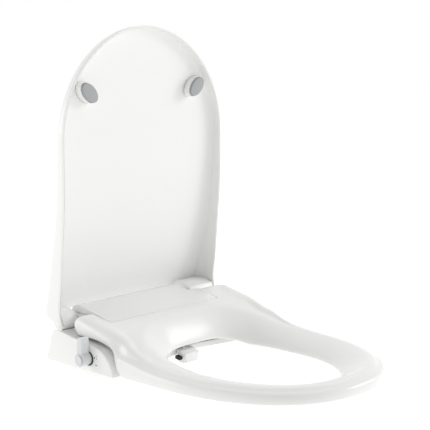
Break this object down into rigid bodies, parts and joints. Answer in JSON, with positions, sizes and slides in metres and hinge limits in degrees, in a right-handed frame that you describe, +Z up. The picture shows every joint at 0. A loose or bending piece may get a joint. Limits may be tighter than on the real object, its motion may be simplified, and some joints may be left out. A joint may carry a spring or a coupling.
{
  "type": "bidet seat",
  "caption": "Slim toilet seat with lid, a housing behind it with a side lever, and a wash nozzle behind a small gate; lid open, seat down.",
  "frame": {"origin": "midway between the two bowl fixings, on the plane that rests on the bowl's rim", "axes": "+Z up, -Y towards the front of the seat, +X to the left of a person sitting on it"},
  "size_m": [0.4058, 0.5121, 0.542],
  "materials": {
    "gloss_white": "gloss moulded, very slightly warm white",
    "satin_white": "satin moulded",
    "lever_grey": "satin light grey, as plated plastic",
    "inner_grey": "plain moulded",
    "rubber_grey": "matt",
    "rubber_white": "matt",
    "rubber_black": "matt",
    "steel": "brushed",
    "brass": "machined",
    "hose": "smooth flexible tube"
  },
  "bodies": {
    "housing": {"housing_base": "gloss_white", "top_cover": "gloss_white", "left_side_cover": "gloss_white", "right_side_cover": "gloss_white", "mounting_plate": "inner_grey", "left_adjuster_disc": "rubber_grey", "right_adjuster_disc": "rubber_grey", "base_screw_1": "steel", "base_screw_2": "steel", "base_screw_3": "steel", "base_screw_4": "steel", "left_hinge_pin": "steel", "right_hinge_pin": "steel", "seat_damper": "inner_grey", "lid_damper": "inner_grey", "nozzle_carrier": "inner_grey", "spray_guard": "gloss_white", "guard_block": "rubber_black", "gate_pin": "steel", "valve_body": "brass", "inlet_connector": "steel", "inlet_washer": "rubber_black", "supply_hose": "hose", "wash_hose": "hose"},
    "lever": {"lever": "lever_grey", "lever_cap": "lever_grey", "valve_spindle": "brass"},
    "nozzle": {"nozzle_tip": "satin_white", "nozzle_tube": "steel"},
    "gate": {"spray_gate": "satin_white"},
    "button": {"release_button": "satin_white", "latch_bar": "inner_grey"},
    "seat": {"seat_shell": "gloss_white", "seat_underside": "satin_white", "seat_bumper_front_left": "rubber_white", "seat_bumper_front_right": "rubber_white", "seat_bumper_rear_left": "rubber_white", "seat_bumper_rear_right": "rubber_white", "left_seat_bush": "inner_grey", "right_seat_bush": "inner_grey"},
    "lid": {"lid_shell": "gloss_white", "lid_post_left": "gloss_white", "lid_post_right": "gloss_white", "lid_pad_left": "rubber_grey", "lid_pad_right": "rubber_grey", "left_lid_bush": "inner_grey", "right_lid_bush": "inner_grey"}
  },
  "joints": [
    {"name": "lid_hinge", "type": "hinge", "parent": "housing", "child": "lid", "pos_m": [0, 0.02, 0.058], "axis": [-1, 0, 0], "range_deg": [-91.4, 0]},
    {"name": "seat_hinge", "type": "hinge", "parent": "housing", "child": "seat", "pos_m": [0, 0.02, 0.058], "axis": [-1, 0, 0], "range_deg": [0, 88]},
    {"name": "lever_turn", "type": "hinge", "parent": "housing", "child": "lever", "pos_m": [-0.192, -0.068, 0.021], "axis": [1, 0, 0], "range_deg": [-70, 70]},
    {"name": "nozzle_slide", "type": "slide", "parent": "housing", "child": "nozzle", "axis": [0, -0.6428, -0.766], "range_m": [0, 0.045], "stiffness_N_per_m": 60, "springref_m": -0.01},
    {"name": "gate_hinge", "type": "hinge", "parent": "housing", "child": "gate", "pos_m": [-0.014, -0.1184, 0.0026], "axis": [-1, 0, 0], "range_deg": [0, 70]},
    {"name": "button_slide", "type": "slide", "parent": "housing", "child": "button", "axis": [-1, 0, 0], "range_m": [0, 0.003], "stiffness_N_per_m": 500, "springref_m": -0.002}
  ]
}
